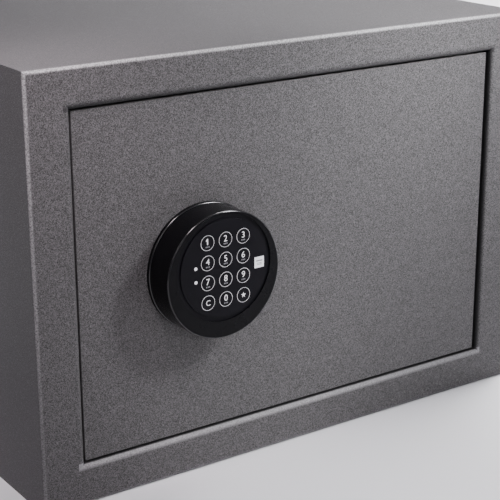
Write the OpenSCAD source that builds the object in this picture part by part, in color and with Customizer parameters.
// Hotel room safe: folded steel cabinet, flush door, turning knob with a keypad, sliding bolts.
// Front faces -Y, +X is to the right seen from the front, +Z is up. The floor plane is z = 0.

/* [Cabinet] */
// Outer width of the cabinet
body_w = 350; // [340:1:400]
// Outer height of the cabinet
body_h = 250; // [245:1:290]
// Outer depth of the cabinet, without the knob
body_d = 250; // [220:1:300]
// Steel sheet of the cabinet
sheet = 2; // [1.5:0.5:2]
// Width of the front frame at the left and right
stile_w = 26.25; // [25:0.25:28]
// Height of the front frame's rail under the door
rail_bottom = 25; // [23:0.5:27]
// Height of the front frame's rail over the door
rail_top = 23; // [23:0.5:27]
// Depth of the folded return round the opening
return_d = 36; // [34:0.5:40]
// Outside radius of the folds at the cabinet's edges
edge_fold_r = 2.5; // [2:0.1:3]
// Outside radius of the folds round the opening
opening_fold_r = 3.5; // [3:0.1:4]

/* [Door] */
// Distance from the front frame back to the door's face
recess = 2; // [1:0.25:3]
// Thickness of the door plate
door_t = 4; // [4:0.5:5]
// Gap round the door at the lock side, top and bottom
door_gap = 1; // [1:0.1:1.5]
// Gap at the hinge side, where the door's edge swings inward
hinge_gap = 2.2; // [2:0.1:2.5]
// Distance from the door's hinge edge to the hinge axis
hinge_inset = 16; // [15:0.5:18]

/* [Knob] */
// Distance from the door's lock edge to the knob's axis
knob_inset = 80.8; // [78:0.1:84]
// Radius of the knob
knob_r = 37.3; // [37:0.1:38]
// Distance from the door's face to the knob's face
knob_reach = 21.3; // [21:0.1:24]
// Radius of the fixed ring behind the knob
base_ring_r = 37.9; // [37.5:0.1:39]
// Thickness of the fixed ring behind the knob
base_ring_t = 2.5; // [2:0.1:3]
// Radius of the keypad disc
fascia_r = 28.8; // [28.6:0.1:29]
// Height of the keypad disc's centre above the knob's axis
fascia_rise = 4.3; // [4:0.1:4.8]
// Radius of a key cap
key_r = 4.45; // [4:0.05:4.5]
// Distance between the keys' centres, sideways
key_pitch_x = 11.9; // [11.5:0.1:12]
// Distance between the keys' centres, up and down
key_pitch_z = 11.7; // [11.5:0.1:12]
// Travel of a key
key_travel = 0.6; // [0.3:0.1:0.8]

/* [Bolts] */
// Radius of a locking bolt
bolt_r = 9; // [8:0.5:9]
// Distance of each bolt above or below the knob's axis
bolt_rise = 55; // [50:1:60]
// Travel of the bolts
bolt_throw = 15; // [13:0.5:15]

/* [Inside] */
// Depth of the inner cover behind the door plate
cover_d = 30; // [30:0.5:32]
// Thickness of the felt floor mat
mat_t = 3; // [2:0.5:4]
// Radius of an anchor hole
anchor_r = 5.5; // [4:0.5:6]
// Distance between the two anchor holes in the floor, and in the back
anchor_pitch = 200; // [150:10:240]

/* [Hidden] */
$fn = 96;
eps = 0.01;
run = 0.06;              // radial clearance of a running fit
knob_proud = knob_reach - recess;
front_y = knob_proud - (body_d + knob_proud) / 2;
opening_l = -body_w / 2 + stile_w;
opening_r = body_w / 2 - stile_w;
opening_w = opening_r - opening_l;
opening_h = body_h - rail_bottom - rail_top;
door_l = opening_l + door_gap;
door_r = opening_r - hinge_gap;
door_w = door_r - door_l;
door_h = opening_h - 2 * door_gap;
mid_z = rail_bottom + opening_h / 2;   // the door's mid height, from which heights inside are measured
knob_x = door_l + knob_inset;
plate_back = recess + door_t;          // the door plate's back, measured from the front frame
hinge_x = door_r - hinge_inset;
hinge_y = plate_back + 3;
pin_r = 2.5;
block_h = 20;
block_w = 14;

// inner cover
cover_sheet = 1.5;
cover_l = door_l + 7;
cover_r = 118;
cover_half_h = 88;
cover_back = plate_back + cover_d;

// cabinet
floor_lip = 12;          // depth of the lip that the front frame folds under the floor sheet's edge

// bolt work
bolt_y = 20;
lock_return_d = bolt_y - bolt_r - 0.6;   // the return at the lock side is short, and the bolts pass behind it
bolt_tip_x = cover_l - 1.25;
bolt_len = 47;
flange_x = bolt_tip_x + bolt_len;
flange_t = 3;
flange_half_h = 66;
yoke_y = 22;
yoke_t = 3;
yoke_end_x = -22;
yoke_top = 38;
yoke_bottom = -30;
cam_r = 15;
cam_y = 15;
cam_t = 4;
crank_r = bolt_throw / sqrt(2);
cam_pin_r = 3;
yoke_slack = 0.5;        // side play of the cam pin, which the straight slot needs over the turn
cable_r = 1.8;
guide_x = -127;
guide_t = 4;
stud_x = -52;
stud_z = -20;
stud_r = 3;

// solenoid
sol_x = -50;
sol_y = 23.5;
sol_z = 45;
sol_h = 30;
sol_w = 24;
coil_r = 9;
plunger_r = 4;
plunger_travel = 4;
plunger_tip_z = yoke_top + 1;
notch_d = plunger_travel + 1;
spring_h = 7;

// battery box
cell_r = 7.1;
cell_pitch = 14.4;
cell_count = 4;
cell_len = 50.5;
nub_h = 1.5;
contact_t = 0.5;
contact_spring_h = 3.5;
box_wall = 1.5;
box_x = 22.7;
box_z = -6.5;
box_w = cell_count * cell_pitch;
box_h = cell_len + contact_spring_h + 2 * contact_t;
box_floor = 20;
box_rim = 5;
rim_t = 1.5;
lid_t = 1.8;
lid_play = 0.2;
rail_inner = 2;
rail_lip = 1.5;

// lock board
board_x = -12;
board_z = -78;
board_w = 64;
board_h = 50;
board_y = 10;
board_t = 1.6;
plug_h = 6;
plug_z = -32;

// knob inside
knob_front = -knob_proud;
pocket_r = 31.3;
pocket_d = 2.8;
chamber_r = 28.5;
chamber_d = 4;
web_t = 2;
knob_back = recess - base_ring_t - 0.3;
grid_x = 0.8;
grid_z = 3.3;
cap_front = knob_front + 0.1;
fascia_front = knob_front + 0.2;
fascia_back = knob_front + pocket_d;
pad_t = 1.2;

key_names = ["key_1", "key_2", "key_3", "key_4", "key_5", "key_6",
             "key_7", "key_8", "key_9", "key_clear", "key_0", "key_star"];
cell_names = [for (i = [1 : cell_count]) str("battery_cell_", i)];

// A y distance measured back from the front frame, as a y coordinate
function yf(d) = front_y + d;

// A box whose y is measured back from the front frame and whose z is measured from the door's mid height
module block(x0, x1, y0, y1, z0, z1)
    translate([x0, yf(y0), mid_z + z0]) cube([x1 - x0, y1 - y0, z1 - z0]);

// A round bar from front to back
module bar_y(x, z, r, y0, y1)
    translate([x, yf(y0), mid_z + z]) rotate([-90, 0, 0]) cylinder(r = r, h = y1 - y0);

// A round bar from left to right
module bar_x(y, z, r, x0, x1)
    translate([x0, yf(y), mid_z + z]) rotate([0, 90, 0]) cylinder(r = r, h = x1 - x0);

// A round bar standing up
module bar_z(x, y, r, z0, z1)
    translate([x, yf(y), mid_z + z0]) cylinder(r = r, h = z1 - z0);

// A slot through a plate from front to back, from x0 to x1 between the centres of its round ends
module slot_x(x0, x1, z, r, y0, y1) {
    bar_y(x0, z, r, y0, y1);
    bar_y(x1, z, r, y0, y1);
    block(x0, x1, y0, y1, z - r, z + r);
}

// A round wire through a list of points given as x, y from the frame and z from mid height
module wire(points, r) {
    knee_r = r + 0.2;
    for (i = [0 : len(points) - 2]) wire_leg(points[i], points[i + 1], r);
    for (i = [1 : len(points) - 2])
        translate([points[i].x, yf(points[i].y), mid_z + points[i].z]) sphere(knee_r);
}

// One straight leg of a wire
module wire_leg(a, b, r) {
    d = b - a;
    translate([a.x, yf(a.y), mid_z + a.z])
        rotate([0, acos(d.z / norm(d)), atan2(d.y, d.x)]) cylinder(r = r, h = norm(d));
}

// A rectangle with round corners, from the origin
module round_rect(w, h, r) {
    translate([r, 0]) square([w - 2 * r, h]);
    translate([0, r]) square([w, h - 2 * r]);
    for (x = [r, w - r], y = [r, h - r]) translate([x, y]) circle(r);
}

// Across one direction, the space that an opening and the folds at its two edges leave free
module flare(w) {
    r = opening_fold_r;
    difference() {
        translate([-r, -eps]) square([w + 2 * r, r + eps]);
        for (x = [-r, w + r]) translate([x, r]) circle(r);
    }
}

// The whole cabinet as a solid with its front edges folded round
module cabinet_envelope() {
    long_d = body_d + 2 * edge_fold_r;
    translate([-body_w / 2, front_y, 0]) intersection() {
        linear_extrude(body_h) round_rect(body_w, long_d, edge_fold_r);
        rotate([90, 0, 90]) linear_extrude(body_w) round_rect(long_d, body_h, edge_fold_r);
        cube([body_w, body_d, body_h]);
    }
}

// The opening with its edges flared by the folds
module flared_opening()
    intersection() {
        translate([opening_l, front_y, rail_bottom - opening_fold_r])
            linear_extrude(opening_h + 2 * opening_fold_r) flare(opening_w);
        translate([opening_l - opening_fold_r, front_y, mid_z]) rotate([90, 0, 90])
            linear_extrude(opening_w + 2 * opening_fold_r)
            rotate(90) mirror([0, 1]) translate([-opening_h / 2, 0]) flare(opening_h);
    }

// The two holes that take anchors, across a sheet at the floor
module anchor_holes_floor(r, z0, z1)
    for (x = [-anchor_pitch / 2, anchor_pitch / 2])
        translate([x, front_y + body_d / 2, z0]) cylinder(r = r, h = z1 - z0);

// The place of the floor sheet, between the sides and behind the front frame's lower lip
module floor_space(z0, z1)
    translate([-body_w / 2 + sheet, yf(floor_lip), z0]) cube([body_w - 2 * sheet, body_d - floor_lip, z1 - z0]);

module cabinet_shell() {
    color([0.23, 0.23, 0.24]) difference() {
        union() {
            difference() {
                cabinet_envelope();
                translate([-body_w / 2 + sheet, yf(sheet), sheet])
                    cube([body_w - 2 * sheet, body_d, body_h - 2 * sheet]);
            }
            translate([opening_l - sheet, front_y + eps, rail_bottom - sheet])
                cube([opening_w + 2 * sheet, return_d - eps, opening_h + 2 * sheet]);
        }
        translate([opening_l, front_y - 1, rail_bottom]) cube([opening_w, return_d + 2, opening_h]);
        flared_opening();
        block(opening_l - sheet - 1, opening_l + 1, lock_return_d, return_d + 1, -opening_h / 2, opening_h / 2);
        for (side = [-1, 1]) mirror_z(side)
            bar_z(hinge_x, hinge_y, pin_r, opening_h / 2 - 1, opening_h / 2 + sheet + 1);
        floor_space(-1, sheet);
    }
}

module floor_sheet() {
    color([0.23, 0.23, 0.24]) difference() {
        floor_space(0, sheet);
        anchor_holes_floor(anchor_r, -1, sheet + 1);
    }
}

module back_panel() {
    color([0.23, 0.23, 0.24]) difference() {
        translate([-body_w / 2 + sheet, yf(body_d - sheet), sheet])
            cube([body_w - 2 * sheet, sheet, body_h - 2 * sheet]);
        for (x = [-anchor_pitch / 2, anchor_pitch / 2])
            bar_y(x, body_h / 2 - mid_z, anchor_r, body_d - sheet - 1, body_d + 1);
    }
}

module door_stop_strip() {
    strip_half_h = door_h / 2 - 5;
    color([0.23, 0.23, 0.24]) block(opening_l, opening_l + 4, plate_back + 0.3, plate_back + 3.3,
                                    -strip_half_h, strip_half_h);
}

// A plate welded behind the frame's return, where a hinge pin is held
module hinge_plate(side) {
    top = opening_h / 2 + sheet;
    color([0.45, 0.45, 0.46]) difference() {
        mirror_z(side) block(hinge_x - 18, hinge_x + 14, 4, 20, top, top + 3);
        mirror_z(side) bar_z(hinge_x, hinge_y, pin_r, top - 1, top + 4);
    }
}

// Keeps a shape for side 1, and mirrors it about the door's mid height for side -1
module mirror_z(side)
    translate([0, 0, mid_z]) mirror([0, 0, side < 0 ? 1 : 0]) translate([0, 0, -mid_z]) children();

module hinge_pin(side) {
    top = opening_h / 2 + sheet + 3;
    color([0.7, 0.7, 0.72]) mirror_z(side) {
        bar_z(hinge_x, hinge_y, pin_r, opening_h / 2 - door_gap - 12, top + eps);
        bar_z(hinge_x, hinge_y, pin_r + 1.5, top, top + 2);
    }
}

module hinge_washer() {
    z0 = -opening_h / 2;
    color([0.75, 0.65, 0.35]) difference() {
        bar_z(hinge_x, hinge_y, 4.8, z0, z0 + door_gap - 0.1);
        bar_z(hinge_x, hinge_y, pin_r + run, z0 - 1, z0 + 2);
    }
}

module floor_mat() {
    mat_front = return_d + 4;
    color([0.1, 0.1, 0.11]) difference() {
        translate([-body_w / 2 + sheet + 4, yf(mat_front), sheet + 0.1])
            cube([body_w - 2 * sheet - 8, body_d - sheet - 4 - mat_front, mat_t]);
        anchor_holes_floor(anchor_r + 6, sheet, sheet + mat_t + 1);
    }
}

module door_plate() {
    color([0.3, 0.3, 0.31]) difference() {
        block(door_l, door_r, recess, plate_back, -door_h / 2, door_h / 2);
        bar_y(knob_x, 0, 8, recess - 1, plate_back + 1);
    }
}

// The block behind the door plate that turns on a hinge pin
module hinge_block(side) {
    top = door_h / 2;
    color([0.45, 0.45, 0.46]) difference() {
        mirror_z(side) block(hinge_x - block_w / 2, hinge_x + block_w / 2, plate_back, hinge_y + 6, top - block_h, top);
        mirror_z(side) bar_z(hinge_x, hinge_y, pin_r + run, top - 13, top + 1);
    }
}

module knob_base_ring() {
    color([0.06, 0.06, 0.06]) difference() {
        union() {
            bar_y(knob_x, 0, base_ring_r, recess - base_ring_t, recess);
            bar_y(knob_x, 0, 8, recess - eps, plate_back + 4);
        }
        bar_y(knob_x, 0, 5 + run, -5, plate_back + 5);
    }
}

module bolt_guide() {
    color([0.6, 0.6, 0.6]) difference() {
        block(guide_x, guide_x + guide_t, plate_back, bolt_y + bolt_r + 3, -bolt_rise - 13, bolt_rise + 13);
        for (z = [-bolt_rise, bolt_rise]) bar_x(bolt_y, z, bolt_r + run, guide_x - 1, guide_x + guide_t + 1);
    }
}

// The carriage's right end runs on this stud
module guide_stud() {
    color([0.6, 0.6, 0.6]) {
        bar_y(stud_x, stud_z, stud_r, plate_back, yoke_y + yoke_t + 1.5);
        bar_y(stud_x, stud_z, stud_r + 2.5, plate_back, yoke_y - 0.3);
        bar_y(stud_x, stud_z, stud_r + 2.5, yoke_y + yoke_t + 0.3, yoke_y + yoke_t + 2);
    }
}

module door_inner_cover() {
    color([0.2, 0.2, 0.21]) difference() {
        block(cover_l, cover_r, plate_back, cover_back, -cover_half_h, cover_half_h);
        block(cover_l + cover_sheet, cover_r - cover_sheet, plate_back - 1, cover_back - cover_sheet,
              -cover_half_h + cover_sheet, cover_half_h - cover_sheet);
        for (z = [-bolt_rise, bolt_rise]) bar_x(bolt_y, z, bolt_r + 0.6, cover_l - 1, cover_l + cover_sheet + 1);
        block(box_x - box_wall, box_x + box_w + box_wall, cover_back - cover_sheet - 1, cover_back + 1,
              box_z - box_wall, box_z + box_h + box_wall);
        at_cover_screws() bar_y(0, 0, 2, cover_back - cover_sheet - 1, cover_back + 1);
    }
}

// The four places where screws hold the cover
module at_cover_screws()
    for (x = [cover_l + 9, cover_r - 10], z = [-cover_half_h + 10, cover_half_h - 10]) translate([x, 0, z]) children();

module cover_standoffs() {
    color([0.65, 0.65, 0.66]) at_cover_screws() difference() {
        bar_y(0, 0, 5, plate_back, cover_back - cover_sheet);
        bar_y(0, 0, 2, cover_back - cover_sheet - 8, cover_back);
    }
}

module cover_screws() {
    color([0.7, 0.7, 0.72]) at_cover_screws() difference() {
        union() {
            bar_y(0, 0, 2, cover_back - cover_sheet - 8, cover_back + eps);
            bar_y(0, 0, 4, cover_back, cover_back + 2.2);
        }
        for (turn = [0, 90]) translate([0, yf(cover_back + 1.2), mid_z]) rotate([0, turn, 0])
            translate([-2.4, 0, -0.5]) cube([4.8, 2, 1]);
    }
}

module solenoid_frame() {
    half = sol_w / 2;
    color([0.6, 0.6, 0.62]) difference() {
        block(sol_x - half, sol_x + half, plate_back, sol_y + 10.5, sol_z, sol_z + sol_h);
        block(sol_x - half - 1, sol_x + half + 1, plate_back + 2, sol_y + 12, sol_z + 2, sol_z + sol_h - 2);
        bar_z(sol_x, sol_y, plunger_r + 0.3, sol_z - 1, sol_z + 3);
        bar_z(sol_x, sol_y, 1.8, sol_z + sol_h - 3, sol_z + sol_h + 1);
    }
}

module solenoid_coil() {
    color([0.55, 0.3, 0.15]) difference() {
        bar_z(sol_x, sol_y, coil_r, sol_z + 2, sol_z + sol_h - 2);
        bar_z(sol_x, sol_y, plunger_r + run, sol_z, sol_z + sol_h);
    }
}

module plunger_spring() {
    turns = 5;
    pitch = spring_h / turns;
    color([0.7, 0.7, 0.72]) translate([sol_x, yf(sol_y), mid_z + sol_z + sol_h]) rotate_extrude() {
        translate([2.4, 0]) square([0.6, spring_h]);
        for (i = [0 : turns - 1]) translate([2.4, pitch * i + 0.3]) square([1.1, pitch - 0.6]);
    }
}

module solenoid_plunger() {
    clip_z = sol_z + sol_h + spring_h;
    color([0.75, 0.75, 0.77]) {
        bar_z(sol_x, sol_y, plunger_r, plunger_tip_z, sol_z + sol_h - 7);
        bar_z(sol_x, sol_y, 1.5, sol_z + sol_h - 8, clip_z + 2);
        bar_z(sol_x, sol_y, 4, clip_z, clip_z + 1.5);
    }
}

// x places of the sockets on the lock board: keypad, solenoid, battery
plug_xs = [-6, 8, 30];

module lock_board() {
    color([0.05, 0.3, 0.15]) difference() {
        union() {
            block(board_x, board_x + board_w, board_y, board_y + board_t, board_z, board_z + board_h);
            for (x = [board_x + 4, board_x + board_w - 4], z = [board_z + 4, board_z + board_h - 4])
                bar_y(x, z, 2.5, plate_back, board_y + eps);
            for (x = plug_xs) block(x - 4, x + 4, board_y, board_y + board_t + plug_h, plug_z - 3, plug_z + 3);
            block(10, 24, board_y, board_y + board_t + 2.2, -62, -48);
            block(32, 47, board_y, board_y + board_t + 11, -68, -56);
            bar_y(-2, -64, 4, board_y, board_y + board_t + 9);
        }
        for (x = [board_x + 4, board_x + board_w - 4], z = [board_z + 4, board_z + board_h - 4])
            bar_y(x, z, 1.2, board_y - 1, board_y + board_t + 1);
    }
}

// Routes of the three leads, each as x, y from the frame and z from mid height
plug_y = board_y + board_t + plug_h;
keypad_route = [[knob_x, 27.2, 0], [knob_x, 30.5, 0], [-20, 30.5, -14], [plug_xs[0], 28, plug_z],
                [plug_xs[0], plug_y, plug_z]];
solenoid_route = [[sol_x + coil_r, sol_y, 62], [-37, sol_y, 62], [-30, 25, 58], [-8, 28, 20], [6, 27, -20],
                  [plug_xs[1], 25, plug_z], [plug_xs[1], plug_y, plug_z]];
battery_route = [[plug_xs[2], 27, box_z - box_wall], [plug_xs[2], 27, plug_z], [plug_xs[2], plug_y, plug_z]];

module wiring_harness() {
    color([0.7, 0.1, 0.1]) for (route = [keypad_route, solenoid_route, battery_route]) wire(route, cable_r - 0.3);
}

module battery_box() {
    rim_l = box_x - box_rim;
    rim_r = box_x + box_w + box_rim;
    rim_b = box_z - box_rim - 2;
    rim_t_z = box_z + box_h + box_rim + 2;
    rim_back = cover_back + rim_t;
    lip_y = rim_back + lid_t + 2 * lid_play;
    color([0.08, 0.08, 0.08]) difference() {
        union() {
            block(box_x - box_wall, box_x + box_w + box_wall, box_floor - box_wall, cover_back + eps,
                  box_z - box_wall, box_z + box_h + box_wall);
            block(rim_l, rim_r, cover_back, rim_back, rim_b, rim_t_z);
            for (side = [[rim_b, rim_b + rail_inner, rim_b + rail_inner + rail_lip],
                         [rim_t_z, rim_t_z - rail_inner, rim_t_z - rail_inner - rail_lip]]) {
                block(rim_l, rim_r, rim_back - eps, lip_y + eps, min(side[0], side[1]), max(side[0], side[1]));
                block(rim_l, rim_r, lip_y, lip_y + 1.2, min(side[0], side[2]), max(side[0], side[2]));
            }
        }
        block(box_x, box_x + box_w, box_floor, rim_back + 1, box_z, box_z + box_h);
    }
}

module battery_lid() {
    rim_b = box_z - box_rim - 2 + rail_inner + lid_play;
    rim_top = box_z + box_h + box_rim + 2 - rail_inner - lid_play;
    lid_front = cover_back + rim_t + lid_play;
    lid_l = box_x - box_rim + 0.2;
    lid_r = box_x + box_w + box_rim - 0.2;
    color([0.09, 0.09, 0.09]) {
        block(lid_l, lid_r, lid_front, lid_front + lid_t, rim_b, rim_top);
        for (i = [0 : 4]) block(lid_l + 5 + 2.2 * i, lid_l + 6 + 2.2 * i, lid_front + lid_t - eps, lid_front + lid_t + 0.8,
                                mid_box_z() - 9, mid_box_z() + 9);
    }
}

function mid_box_z() = box_z + box_h / 2;

// The x of a cell's axis, and whether its nub points up
function cell_x(i) = box_x + cell_pitch * (i + 0.5);
function nub_up(i) = i % 2 == 0;

module battery_cell(i) {
    z0 = nub_up(i) ? box_z + contact_t + contact_spring_h : box_z + contact_t;
    y = (box_floor + cover_back) / 2;
    body_z = nub_up(i) ? z0 : z0 + nub_h;
    nub_z = nub_up(i) ? z0 + cell_len - nub_h : z0;
    color([0.75, 0.5, 0.2]) {
        bar_z(cell_x(i), y, cell_r, body_z, body_z + cell_len - nub_h);
        bar_z(cell_x(i), y, 2.7, nub_z - (nub_up(i) ? eps : 0), nub_z + nub_h + (nub_up(i) ? 0 : eps));
    }
}

module battery_contacts() {
    y = (box_floor + cover_back) / 2;
    color([0.8, 0.8, 0.82]) for (i = [0 : cell_count - 1]) {
        x = cell_x(i);
        top = box_z + box_h;
        for (z = [box_z, top - contact_t]) block(x - 6, x + 6, y - 6, y + 6, z, z + contact_t);
        if (nub_up(i)) bar_z(x, y, 3, box_z + contact_t - eps, box_z + contact_t + contact_spring_h);
        else bar_z(x, y, 3, top - contact_t - contact_spring_h, top - contact_t + eps);
    }
}

module bolt_carriage() {
    slot_z0 = crank_r / sqrt(2) - 1;
    slot_z1 = crank_r + 1;
    slot_x = knob_x + bolt_throw / 2;
    notch_r = plunger_r + 0.4;
    color([0.62, 0.62, 0.6]) difference() {
        union() {
            block(flange_x, flange_x + flange_t, bolt_y - bolt_r, yoke_y + yoke_t, -flange_half_h, flange_half_h);
            block(flange_x, yoke_end_x, yoke_y, yoke_y + yoke_t, yoke_bottom, yoke_top);
        }
        for (z = [-bolt_rise, bolt_rise]) bar_x(bolt_y, z, pin_r, flange_x - 1, flange_x + flange_t + 1);
        block(slot_x - cam_pin_r - yoke_slack, slot_x + cam_pin_r + yoke_slack, yoke_y - 1, yoke_y + yoke_t + 1,
              slot_z0 - cam_pin_r, slot_z1 + cam_pin_r);
        slot_x(knob_x, knob_x + bolt_throw, 0, 3, yoke_y - 1, yoke_y + yoke_t + 1);
        slot_x(stud_x, stud_x + bolt_throw, stud_z, stud_r + 0.1, yoke_y - 1, yoke_y + yoke_t + 1);
        for (x = [sol_x, sol_x + bolt_throw])
            block(x - notch_r, x + notch_r, yoke_y - 1, yoke_y + yoke_t + 1, yoke_top - notch_d, yoke_top + 1);
    }
}

module bolt(side) {
    z = side * bolt_rise;
    color([0.8, 0.8, 0.82]) difference() {
        union() {
            bar_x(bolt_y, z, bolt_r, bolt_tip_x + 1.5, flange_x);
            translate([bolt_tip_x, yf(bolt_y), mid_z + z]) rotate([0, 90, 0])
                cylinder(r1 = bolt_r - 1.5, r2 = bolt_r, h = 1.5 + eps);
        }
        bar_x(bolt_y, z, pin_r, flange_x - 10, flange_x + 1);
    }
}

module carriage_screws() {
    head_x = flange_x + flange_t;
    color([0.3, 0.3, 0.3]) for (z = [-bolt_rise, bolt_rise]) {
        bar_x(bolt_y, z, pin_r, flange_x - 9, head_x + eps);
        difference() {
            bar_x(bolt_y, z, 4.5, head_x, head_x + 3);
            translate([head_x + 1.5, yf(bolt_y), mid_z + z]) rotate([0, 90, 0]) cylinder(r = 2, h = 3, $fn = 6);
        }
    }
}

module knob_housing() {
    chamber_back = fascia_back + chamber_d;
    web_back = chamber_back + web_t;
    edge_r = 1;
    color([0.06, 0.06, 0.06]) difference() {
        translate([knob_x, yf(0), mid_z]) rotate([-90, 0, 0]) rotate_extrude() knob_outline(edge_r);
        bar_y(knob_x, fascia_rise, pocket_r, knob_front - 1, fascia_back);
        bar_y(knob_x, fascia_rise, chamber_r, fascia_back - eps, chamber_back);
        difference() {
            bar_y(knob_x, 0, knob_r - 3, web_back, knob_back + 1);
            bar_y(knob_x, 0, 11, web_back - 1, knob_back + 1);
        }
        bar_y(knob_x, 0, 5, chamber_back + web_t, knob_back + 1);
        bar_y(knob_x, 0, cable_r, chamber_back - 1, web_back + 1);
    }
}

// Half of the knob's section: radius across, depth behind the front frame up
module knob_outline(edge_r) {
    back_r = 0.6;
    translate([0, knob_front + edge_r]) square([knob_r, knob_back - knob_front - edge_r - back_r]);
    translate([0, knob_front]) square([knob_r - edge_r, edge_r + 1]);
    translate([knob_r - edge_r, knob_front + edge_r]) circle(edge_r);
    translate([0, knob_back - back_r - 1]) square([knob_r - back_r, back_r + 1]);
    translate([knob_r - back_r, knob_back - back_r]) circle(back_r);
}

// The centre of key number i, from the knob's axis
function key_x(i) = grid_x + (i % 3 - 1) * key_pitch_x;
function key_z(i) = grid_z + (1.5 - floor(i / 3)) * key_pitch_z;

lens_x = grid_x - 19.8;
lens_z = [grid_z - 4, grid_z + 4];
lens_r = 1;

module keypad_fascia() {
    color([0.08, 0.08, 0.09]) difference() {
        union() {
            bar_y(knob_x, fascia_rise, pocket_r, fascia_front + 0.7, fascia_back);
            bar_y(knob_x, fascia_rise, fascia_r, fascia_front, fascia_back);
        }
        for (i = [0 : 11]) bar_y(knob_x + key_x(i), key_z(i), key_r + 0.1, knob_front - 1, fascia_back + 1);
        for (z = lens_z) bar_y(knob_x + lens_x, z, lens_r, knob_front - 1, fascia_back + 1);
    }
}

module key_cap(i) {
    color([0.09, 0.09, 0.1]) {
        bar_y(knob_x + key_x(i), key_z(i), key_r, cap_front, fascia_back + 0.2 + eps);
        bar_y(knob_x + key_x(i), key_z(i), key_r + 0.6, fascia_back + 0.2, fascia_back + 0.7);
        bar_y(knob_x + key_x(i), key_z(i), 1.5, fascia_back + 0.7 - eps, fascia_back + 1.6);
    }
}

module keypad_board() {
    back = fascia_back + chamber_d;
    color([0.05, 0.25, 0.12]) difference() {
        union() {
            bar_y(knob_x, fascia_rise, chamber_r - 0.2, back - pad_t, back);
            for (i = [0 : 11]) bar_y(knob_x + key_x(i), key_z(i), 3, back - pad_t - 0.3, back - pad_t + eps);
        }
        bar_y(knob_x, 0, cable_r, back - pad_t - 1, back + 1);
    }
}

module status_lenses() {
    color([0.9, 0.9, 0.9]) for (z = lens_z) bar_y(knob_x + lens_x, z, lens_r, cap_front, fascia_back);
}

module label_plate() {
    side = 6.4;
    x = knob_x + grid_x + 22.8;
    color([0.9, 0.9, 0.9]) block(x - side / 2, x + side / 2, fascia_front - 0.2, fascia_front,
                                 grid_z - side / 2, grid_z + side / 2);
}

module spindle() {
    web_back = fascia_back + chamber_d + web_t;
    color([0.7, 0.7, 0.7]) difference() {
        bar_y(knob_x, 0, 5, web_back, yoke_y - 1);
        bar_y(knob_x, 0, cable_r + 0.4, web_back - 1, yoke_y);
    }
}

module spindle_cable() {
    color([0.15, 0.15, 0.15]) bar_y(knob_x, 0, cable_r, fascia_back + chamber_d - pad_t, 27);
}

module cam_disc() {
    color([0.6, 0.6, 0.6]) difference() {
        bar_y(knob_x, 0, cam_r, cam_y, cam_y + cam_t);
        bar_y(knob_x, 0, 5, cam_y - 1, cam_y + cam_t + 1);
        bar_y(knob_x + crank_r / sqrt(2), crank_r / sqrt(2), cam_pin_r, cam_y - 1, cam_y + cam_t + 1);
    }
}

module cam_pin() {
    color([0.75, 0.75, 0.77])
        bar_y(knob_x + crank_r / sqrt(2), crank_r / sqrt(2), cam_pin_r, cam_y, yoke_y + yoke_t + 1);
}

cabinet_shell();
floor_sheet();
back_panel();
door_stop_strip();
hinge_plate(1);  // upper_hinge_plate
hinge_plate(-1);  // lower_hinge_plate
hinge_pin(1);  // upper_hinge_pin
hinge_pin(-1);  // lower_hinge_pin
hinge_washer();
floor_mat();
door_plate();
hinge_block(1);  // upper_hinge_block
hinge_block(-1);  // lower_hinge_block
knob_base_ring();
bolt_guide();
guide_stud();
door_inner_cover();
cover_standoffs();
cover_screws();
solenoid_frame();
solenoid_coil();
plunger_spring();
solenoid_plunger();
lock_board();
wiring_harness();
battery_box();
battery_contacts();
battery_lid();
bolt_carriage();
bolt(1);  // upper_bolt
bolt(-1);  // lower_bolt
carriage_screws();
knob_housing();
keypad_fascia();
keypad_board();
spindle();
spindle_cable();
cam_disc();
cam_pin();
status_lenses();
label_plate();
for (i = [0 : cell_count - 1]) battery_cell(i);
for (i = [0 : 11]) key_cap(i);
